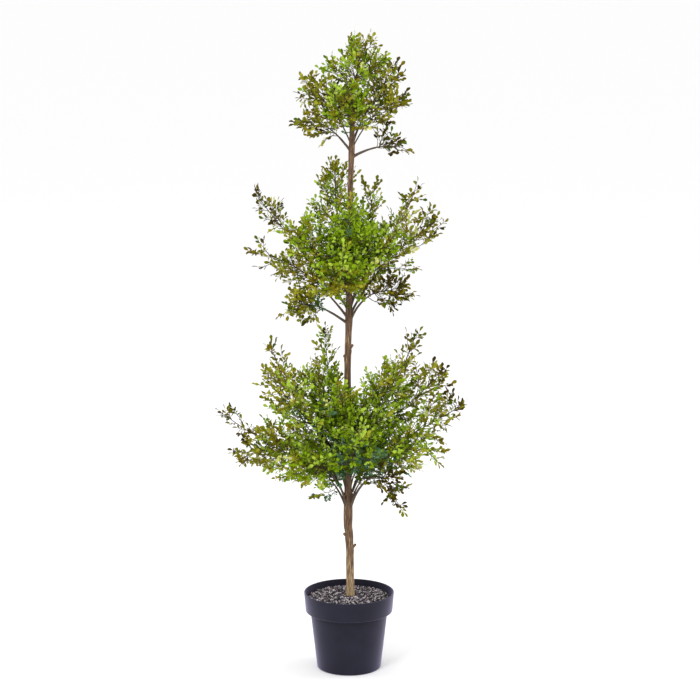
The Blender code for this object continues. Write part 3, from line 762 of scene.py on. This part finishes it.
def side_twigs(name, course, first, count, space, twig_length):
    """Each side twig of one mass, by the solids' rule and seed."""
    rng = random.Random(f"{SEED} foliage_{name} twigs")
    turn = rng.uniform(0, 2 * math.pi)
    twigs = []
    for i in range(count):
        share = first + (1 - first) * (i + 0.4) / count
        length = twig_length * (1 - TWIG_TAPERING * (share - first) / (1 - first))
        length *= rng.uniform(0.88, 1.12)
        twigs += grow_twig(space, course, share, length, turn + i * TWIG_SPIRAL, TWIG_ROOM)
    return twigs


def finer_twigs(name, course, start, end, count, space, twig_length):
    """The finer twigs that fill in between, by the same rule."""
    rng = random.Random(f"{SEED} {name} finer twigs")
    turn = rng.uniform(0, 2 * math.pi)
    twigs = []
    for i in range(count):
        part = (i + rng.uniform(0.1, 0.9)) / count
        share = start + (end - start) * part
        length = twig_length * (1 - 0.5 * part) * rng.uniform(0.55, 1.05)
        twigs += grow_twig(space, course, share, length, turn + i * TWIG_SPIRAL, FINER_TWIG_ROOM)
    return twigs


# ---------- sprigs and leaves

def jitter(rng, size):
    """A random vector in a cube of twice the size."""
    return Vector([rng.uniform(-size, size) for _ in range(3)])


def leaf_form(width, fold, arch):
    """A leaf of unit length along +Y: a flattened double cone, obovate, folded and arched."""
    bm = bmesh.new()
    bmesh.ops.create_uvsphere(bm, u_segments=LEAF_SIDES, v_segments=2, radius=1.0)
    for corner in bm.verts:
        x, y, z = corner.co
        if abs(z) > 0.5:
            corner.co = (0.0, 0.52, arch + 0.012 * z)
            continue
        turned = math.atan2(abs(x), -y)
        share = (1 - math.cos(turned)) / 2
        half = 0.5 * width * max(0.0, math.sin(math.pi * share**1.6)) ** 0.7
        rise = fold * half + arch * 4 * share * (1 - share) * 0.8 - 0.10 * share**3
        corner.co = (math.copysign(half, x), share, rise)
    return corners_and_faces(bm)


def reach(share):
    """How far out a share of a spray's length is: 0 in the heart of its tier, 1 at its tip."""
    return min(1.0, max(0.0, share - HEART) / (1 - HEART))


def depth(point):
    """How far a point lies behind the stem or, less strongly, in front of it."""
    return max(point.y, -FRONT_FLATNESS * point.y)


def pick_tone(rng, withered, shaded, green, mood):
    """A leaf tone, by how withered and green its place is, whether it is shaded, and the mood."""
    if withered > WITHERED:
        kind = "withered"
    # painted shade: shaded places get bluer, darker tones
    elif shaded:
        kind = "shaded"
    elif rng.random() < green:
        if mood < MOODS[0]:
            kind = "fresh"
        elif mood < MOODS[1] or green < BLUISH_GREEN:
            kind = "grassy"
        else:
            kind = "bluish"
    elif green > YELLOWED:
        kind = "yellowed"
    else:
        kind = "mixed"
    odds = TONE_ODDS[kind]
    return rng.choices(list(odds), list(odds.values()))[0]


class Foliage:
    """What one side of a tier is made of: its twigs' tubes, its sprigs' tubes and its leaves."""

    def __init__(self, shape):
        self.base, self.foot, self.tall, self.greens, self.shades, self.dark_side = shape
        self.nodes = []
        self.tubes = []
        self.sprigs = []
        self.leaves = []

    def add_leaf(self, rng, root, along, tone, size):
        """A leaf from root, facing outward and up more or less, unless it would cut into the stem."""
        outward = Vector((root.x, root.y, 0.0)).normalized()
        face = outward * LEAF_OUTWARD + UP * LEAF_UPWARD + jitter(rng, LEAF_TUMBLE)
        side = along.cross(face).normalized()
        face = side.cross(along).normalized()
        middle = root + along * (0.5 * size)
        height = min(middle.z, TRUNK_TIP)
        if (middle - trunk_centre(height)).length < trunk_radius(height) + LEAF_CLEAR:
            return
        matrix = Matrix((side, along, face)).transposed() * size
        self.leaves.append((rng.randrange(len(LEAF_FORMS)), matrix, root, TONE_NAMES.index(tone)))

    def add_sprig(self, rng, foot, way, length, far, tone):
        """A sprig: a fine tube that curves up, with leaves left and right, and one at its end."""
        end = foot + way * length + UP * (SPRIG_BEND * length)
        middle = foot + way * (0.5 * length) + UP * (0.15 * SPRIG_BEND * length)
        points = interpolate_bezier(foot, middle, middle, end, 4)
        self.sprigs.append((points, [between(SPRIG_RADII, i / 3) for i in range(4)]))
        count = max(2, round(length / between(LEAF_STEP, far)))
        leaf_length = between(LEAF_LENGTH, far)
        spread = square_to(way, math.pi / 2 + rng.uniform(-0.9, 0.9))
        for i in range(count):
            share = LEAF_START + LEAF_RUN * (i + rng.uniform(-0.2, 0.2)) / count
            at, ahead = at_share(points, min(1.0, max(0.05, share)))
            side = spread if i % 2 else -spread
            lean = LEAF_LEAN + rng.uniform(-0.25, 0.25)
            along = ahead * math.cos(lean) + side * math.sin(lean) + jitter(rng, 0.22)
            size = leaf_length * rng.uniform(*LEAF_SIZES)
            self.add_leaf(rng, at, along.normalized(), tone, size)
        ahead = (points[-1] - points[-2] + jitter(rng, 0.2) * (length / 3)).normalized()
        self.add_leaf(rng, points[-1], ahead, tone, leaf_length * rng.uniform(0.85, 1.10))

    def dress(self, rng, path, radii, first, reaches, withered, mood):
        """Draws a stem or twig along path, and sets sprigs on it from the share first to its end.

        reaches tells how far out it starts and ends: 0 in the heart of the tier, 1 at its tips.
        """
        last = len(path) - 1
        self.tubes.append((path, [between(radii, i / last) for i in range(last + 1)]))
        total = sum((b - a).length for a, b in zip(path, path[1:]))
        roll = rng.uniform(0, 2 * math.pi)
        own_tone = self.tone_at(rng, reaches[0], path[last // 2], withered, mood)
        share = first
        while True:
            far = between(reaches, share)
            share += between(SPRIG_SPACING, far) * rng.uniform(0.6, 1.4) / total
            if share >= 1:
                break
            foot, ahead = at_share(path, share)
            roll += math.pi + rng.uniform(-0.8, 0.8)
            lean = SPRIG_LEAN * (1 - 0.35 * share) + rng.uniform(-0.2, 0.2)
            way = ahead * math.cos(lean) + square_to(ahead, roll) * math.sin(lean)
            length = between(SPRIG_LENGTH, far) * rng.uniform(*SPRIG_SIZES)
            tone = own_tone
            if far > PATCH_REACH or own_tone == "pale" or rng.random() > PATCH_SHARE:
                tone = self.tone_at(rng, far, foot, withered, mood)
            self.add_sprig(rng, foot, way.normalized(), length, far, tone)
        ahead = (path[-1] - path[-2]).normalized()
        tone = self.tone_at(rng, reaches[1], path[-1], withered, mood)
        length = between(SPRIG_LENGTH, reaches[1]) * rng.uniform(0.8, 1.1)
        self.add_sprig(rng, path[-1], ahead, length, reaches[1], tone)

    def tone_at(self, rng, far, point, withered, mood):
        """A tone for a place in the tier: green in its heart, yellower and then browned outside."""
        across = math.hypot(point.x, depth(point)) / self.base
        up = (point.z - self.foot) / self.tall
        outer = math.hypot(across, HEIGHT_WEIGHT * (up - 0.5))
        green = min(GREEN_MOST, (self.greens - outer) / GREEN_FADE)
        browning = max(withered, far * min(1.0, across / BROWN_REACH))
        # painted shade: past the tier's threshold, leaves take the bluer, darker shaded tones
        return pick_tone(rng, browning, self.shade(point) > self.shades, green, mood)

    def shade(self, point):
        """How deep in the tier's shade a point lies: 0 outside and above, 1 at its heart and foot."""
        aside = math.hypot(SHADE_NARROWNESS * (point.x - self.dark_side), depth(point))
        inward = 1 - min(1.0, aside / (SHADE_REACH * self.base))
        below = 1 - min(1.0, max(0.0, (point.z - self.foot) / SHADE_HEIGHT))
        return inward * (SHADE_ABOVE + (1 - SHADE_ABOVE) * below)


def run_on(points, rng, length):
    """The path, gone on by length past its end, bending a little as it goes."""
    ahead = (points[-1] - points[-2]).normalized()
    ways = [(ahead + jitter(rng, 0.20) * (i + 1)).normalized() for i in range(2)]
    first = points[-1] + ways[0] * (length / 2)
    return list(points) + [first, first + ways[1] * (length / 2)]


def bowed(foot, tip, rng):
    """A side twig's course from foot to tip, bowed a little to one side."""
    run = tip - foot
    bow = square_to(run.normalized(), rng.uniform(0, 2 * math.pi)) * (TWIG_BOW * run.length)
    middle = (foot + tip) / 2 + bow
    return [foot, (foot + middle) / 2 + bow * 0.25, middle, (middle + tip) / 2 + bow * 0.25, tip]


def grow_foliage(bare, stems, habits):
    """The foliage of each tier's two sides, with the top spray counted to the upper tier."""
    limbs = [every(path, BOUGH_SECTIONS) for path in bare.values()]
    sampled = {name: every(stem, SPACE_SECTIONS + 1) for name, stem in stems.items()}
    made = {}
    for name, stem in stems.items():
        tier = name.split("_")[0]
        shown = "upper" if tier == "top" else tier
        side = "left" if stem[-1].x < 0 else "right"
        part = made.setdefault(f"{shown}_{side}", Foliage(TIER_SHAPES[shown]))
        part.nodes.append(f"foliage_{name}")
        bare_share, count, twig_length = habits[name][2:]
        finer, start, end, far_foot, withered = OWN_GROWTH.get(name, TIER_GROWTH[tier])
        slim = max(far_foot, min(1.0, stem[-1].xy.length / (SLENDER_REACH * part.base)))
        springs = name not in bare and name != "top"
        first = bare_share if springs else 0.0
        space = Space(name, sampled, limbs)
        rng = random.Random(f"{SEED} {name} sprigs")
        mood = rng.random()
        course = every(stem, STEM_SECTIONS)
        main = side_twigs(name, course, first, count, space, twig_length)
        low = max(0.85 * first, start)
        filling = finer_twigs(name, course, low, end, finer, space, twig_length)
        twigs = [(TWIG_RADII, *twig) for twig in main]
        twigs += [(FINER_TWIG_RADII, *twig) for twig in filling]
        path = run_on(every(stem, 9), rng, STEM_RUN_ON)
        reaches = (far_foot, slim)
        part.dress(rng, path, STEM_RADII, max(0.9 * first, start), reaches, withered, mood)
        for radii, foot, tip, share in twigs:
            path = run_on(bowed(foot, tip, rng), rng, TWIG_RUN_ON * (tip - foot).length)
            own = [between(reaches, reach(at)) for at in (share, share + 0.3)]
            own_mood = (mood + rng.uniform(-0.3, 0.3)) % 1.0
            part.dress(rng, path, radii, TWIG_LEAFY_FROM, own, withered, own_mood)
    return made


# ---------- pieces

def turned_pot():
    """The pot: its profile spun about Z, with rounded lips and a soft collar edge."""
    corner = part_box("pot")[1]
    top = corner.z
    rim = corner.x
    collar_foot = top - POT_COLLAR_HEIGHT
    slope = (rim - POT_COLLAR_FOOT_RADIUS) / POT_COLLAR_HEIGHT
    body_slope = (POT_BODY_TOP_RADIUS - POT_BASE_RADIUS) / collar_foot

    def body(height):
        return POT_BASE_RADIUS + body_slope * height

    def collar(height):
        return rim - slope * (top - height)

    lip = POT_WALL / 2
    profile = [
        (0.0, POT_FLOOR),
        (body(POT_FLOOR) - POT_WALL, POT_FLOOR),
        (POT_BODY_TOP_RADIUS - POT_WALL, collar_foot + POT_WALL),
        (collar(collar_foot) - POT_WALL, collar_foot + POT_WALL),
    ]
    profile += arc((rim - lip, top - lip), lip, math.pi, -math.pi, 6)
    edge = POT_COLLAR_EDGE
    profile += arc((collar(collar_foot) - edge, collar_foot + edge), edge, 0, -math.pi / 2, 4)
    profile += [
        (body(collar_foot) - POT_NECK, collar_foot),
        (body(collar_foot) - POT_NECK, collar_foot - 1.5 * POT_NECK),
        (body(collar_foot - 4 * POT_NECK), collar_foot - 4 * POT_NECK),
    ]
    edge = POT_BASE_ROUNDING
    profile += arc((body(edge) - edge, edge), edge, 0, -math.pi / 2, 5)
    profile.append((0.0, 0.0))
    bm = bmesh.new()
    knots = [bm.verts.new((radius, 0.0, height)) for radius, height in profile]
    edges = [bm.edges.new(pair) for pair in zip(knots, knots[1:])]
    bmesh.ops.spin(
        bm, geom=knots + edges, cent=(0, 0, 0), axis=(0, 0, 1), angle=2 * math.pi,
        steps=POT_STEPS, use_merge=True,
    )
    bmesh.ops.remove_doubles(bm, verts=bm.verts, dist=0.01 * MM)
    bmesh.ops.recalc_face_normals(bm, faces=bm.faces)
    mesh = mesh_from(bm, "pot_shell")
    smooth(mesh, 40)
    add_piece("pot_shell", mesh, [pot_plastic()], ["pot"])


def fill_height(radius, rim_height, edge_radius):
    """Height of the mound of grit at a radius from the pot's axis."""
    share = min(1.0, max(0.0, (radius - FILL_FLAT_RADIUS) / (edge_radius - FILL_FLAT_RADIUS)))
    return rim_height - FILL_CROWN_DEPTH - (FILL_EDGE_DEPTH - FILL_CROWN_DEPTH) * share**2


def grit():
    """Small chippings strewn over the fill, in four stone colours."""
    rim_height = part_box("pot")[1].z
    edge_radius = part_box("pot_fill")[1].x
    rng = random.Random(SEED)
    forms = []
    for _ in range(STONE_FORMS):
        bm = bmesh.new()
        bmesh.ops.create_icosphere(bm, subdivisions=1, radius=0.5)
        for corner in bm.verts:
            corner.co *= rng.uniform(0.78, 1.15)
        forms.append(corners_and_faces(bm))
    copies = []
    bare_radius = trunk_radius(TRUNK_FOOT) + STONE_GAP
    steps = int(edge_radius / STONE_SPACING) + 1
    for row in range(-steps, steps + 1):
        for column in range(-steps, steps + 1):
            x = (column + 0.5 * (row % 2) + rng.uniform(-0.45, 0.45)) * STONE_SPACING
            y = (row + rng.uniform(-0.45, 0.45)) * STONE_SPACING * 0.9
            radius = math.hypot(x, y)
            size = rng.uniform(*STONE_SIZES) * MM
            if radius > edge_radius - 0.55 * size:
                continue
            if math.hypot(x - trunk_centre(TRUNK_FOOT).x, y) < bare_radius:
                continue
            height = fill_height(radius, rim_height, edge_radius) + rng.uniform(*STONE_LIFT) * MM
            turn = Matrix.Rotation(rng.uniform(0, 6.3), 3, jitter(rng, 1.0).normalized())
            flat = Matrix.Diagonal((size, size * rng.uniform(0.65, 1.0), size * rng.uniform(0.5, 0.9)))
            stone = rng.choice(STONE_DEAL)
            copies.append((rng.randrange(len(forms)), turn @ flat, (x, y, height), stone))
    stones = [
        new_material(f"chipping_{name}", colour, 0.8)[0] for name, colour in STONE_COLOURS.items()
    ]
    mesh = join_copies("grit_chippings", forms, copies)
    add_piece("grit_chippings", mesh, stones, [])
    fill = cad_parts["pot_fill"]
    fill.data.materials.clear()
    fill.data.materials.append(fill_soil())


def trunk_surface(share, angle):
    """Where the stem's bark lies: fibres along it, low swellings, and bulges at its stubs."""
    height = TRUNK_FOOT + share * (TRUNK_TIP - TRUNK_FOOT)
    radius = trunk_radius(height)
    across = Vector((math.cos(angle), math.sin(angle), 0.0))
    for relief, around, along, start in (STEM_FIBRES, STEM_LUMPS):
        at = Vector((across.x * around, across.y * around, height * along + start))
        radius += relief * noise.noise(at)
    for stub_height, azimuth, _, _ in STUBS:
        aside = 1 - across.dot(heading(azimuth, 0))
        away = ((height - stub_height) / STUB_BULGE_HEIGHT) ** 2 + aside / STUB_BULGE_WIDTH
        radius += STUB_BULGE * math.exp(-away)
    return trunk_centre(height) + across * radius


def stem():
    """The stem with its bark's relief, and the stubs of pruned side shoots on it."""
    bm = bmesh.new()
    add_limb(bm, *STEM_GRID, trunk_surface)
    for height, azimuth, pitch, length in STUBS:
        out = heading(azimuth, pitch)
        foot = trunk_centre(height) + out * (0.4 * trunk_radius(height))
        tip = foot + out * (0.6 * trunk_radius(height) + length)
        add_stub(bm, foot, tip)
    mesh = mesh_from(bm, "stem_bark")
    smooth(mesh)
    bark = stem_bark(
        "resin_bark_stem",
        ((0.30, 0x24180F), (0.44, 0x523922), (0.56, 0x6C4F37), (0.74, 0xB49C74)), 2.4, 22, 0.15,
    )
    add_piece("stem_bark", mesh, [bark], ["trunk"])


def add_stub(bm, foot, tip):
    """A short cut-off side shoot from foot to tip, a little uneven."""
    run = tip - foot
    turn = run.to_track_quat("Z", "Y").to_matrix()

    def surface(share, angle):
        radius = between(STUB_RADII, share)
        across = Vector((math.cos(angle), math.sin(angle), 0.0))
        radius *= 1 + STUB_UNEVENNESS * noise.noise(across * 1.7 + foot * 90)
        return foot + run * share + turn @ (across * radius)

    add_limb(bm, *STUB_GRID, surface)


def bough_surface(path, seed_place):
    """The surface of one bough, from inside the stem to where its foliage begins."""
    def surface(share, angle):
        at, ahead = at_share(path, share)
        side = square_to(ahead, angle)
        radius = between(BOUGH_RADII, share)
        radius += BOUGH_SWELLING * math.exp(-share / BOUGH_SWELLING_SPREAD)
        relief, around, along = BOUGH_LUMPS
        radius += relief * noise.noise(side * around + at * along + seed_place)
        return at + side * radius
    return surface


def boughs(bare):
    bm = bmesh.new()
    for number, path in enumerate(bare.values()):
        add_limb(bm, *BOUGH_GRID, bough_surface(path, Vector((number, 0, 0))))
    bmesh.ops.recalc_face_normals(bm, faces=bm.faces)
    mesh = mesh_from(bm, "bough_bark")
    smooth(mesh)
    bark = stem_bark(
        "resin_bark_boughs",
        ((0.28, 0x2C231D), (0.48, 0x4E4034), (0.66, 0x665546), (0.85, 0x7E6D58)), 1.6, 14,
    )
    add_piece("bough_bark", mesh, [bark], [f"bough_{name}" for name in bare])


def foliage(bare, stems, habits):
    """The leaves, twigs and sprigs of each tier's two sides, each kind as one piece."""
    tones = [leaf_plastic(tone) for tone in LEAF_TONES]
    brown = twig_plastic()
    for part, grown in grow_foliage(bare, stems, habits).items():
        leaves = join_copies(f"leaves_{part}", LEAF_FORMS, grown.leaves)
        add_piece(f"leaves_{part}", leaves, tones, grown.nodes)
        for kind, tubes, half_ring in (("twigs", grown.tubes, 1), ("sprigs", grown.sprigs, 0)):
            mesh = tubes_mesh(f"{kind}_{part}", tubes, half_ring)
            add_piece(f"{kind}_{part}", mesh, [brown], grown.nodes)


# ---------- stage, light and camera

def stage():
    """The floor and the even white world around it."""
    bm = bmesh.new()
    bmesh.ops.create_grid(bm, x_segments=1, y_segments=1, size=60.0)
    floor = add_object("floor", mesh_from(bm, "floor"))
    floor.data.materials.append(new_material("pale_floor", 0xFDFDFD, 0.9)[0])
    world = bpy.data.worlds.new("studio")
    bpy.context.scene.world = world
    world.use_nodes = True
    sky = world.node_tree.nodes["Background"]
    sky.inputs["Color"].default_value = linear(0xFFFFFF)
    sky.inputs["Strength"].default_value = 1.0
    bpy.context.scene.view_settings.view_transform = "Standard"


def look(thing, place, aim):
    """Sets a lamp or a camera in its place and turns it to its aim."""
    thing.location = place
    thing.rotation_euler = (Vector(aim) - Vector(place)).to_track_quat("-Z", "Y").to_euler()


def soft_light(name, place, aim, size, watts):
    """A round area light, size metres across, turned to its aim."""
    lamp = bpy.data.lights.new(name, "AREA")
    lamp.shape = "DISK"
    lamp.size = size
    lamp.energy = watts
    look(add_object(name, lamp), place, aim)


def camera():
    """A long lens on the -Y side, a little above the plant's middle and pitched down at it."""
    lens = bpy.data.cameras.new("camera")
    lens.lens = FOCAL_LENGTH
    lens.sensor_width = FRAME_WIDTH
    lens.clip_end = 200.0
    made = add_object("camera", lens)
    look(made, CAMERA_PLACE, CAMERA_AIM)
    bpy.context.scene.camera = made


# ---------- the whole

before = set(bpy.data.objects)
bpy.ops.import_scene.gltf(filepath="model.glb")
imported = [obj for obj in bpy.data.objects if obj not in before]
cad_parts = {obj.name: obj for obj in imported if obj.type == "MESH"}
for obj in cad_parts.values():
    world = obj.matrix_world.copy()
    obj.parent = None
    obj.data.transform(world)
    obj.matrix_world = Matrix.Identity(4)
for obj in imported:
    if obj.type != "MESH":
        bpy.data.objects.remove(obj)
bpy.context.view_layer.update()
TRUNK_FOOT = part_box("trunk")[0].z

LEAF_FORMS = [leaf_form(*shape) for shape in LEAF_SHAPES]

stage()
soft_light("key", (-1.6, -3.2, 3.4), (0, 0, 0.9), 1.4, 60)
soft_light("left", (-3.2, 0.8, 1.6), (0, 0, 0.7), 2.0, 22)
soft_light("right", (3.0, 0.6, 1.6), (0, 0, 0.7), 2.0, 34)
camera()

turned_pot()
grit()
stem()
bare_paths, stem_paths, spray_habits = plan_sprays()
boughs(bare_paths)
foliage(bare_paths, stem_paths, spray_habits)
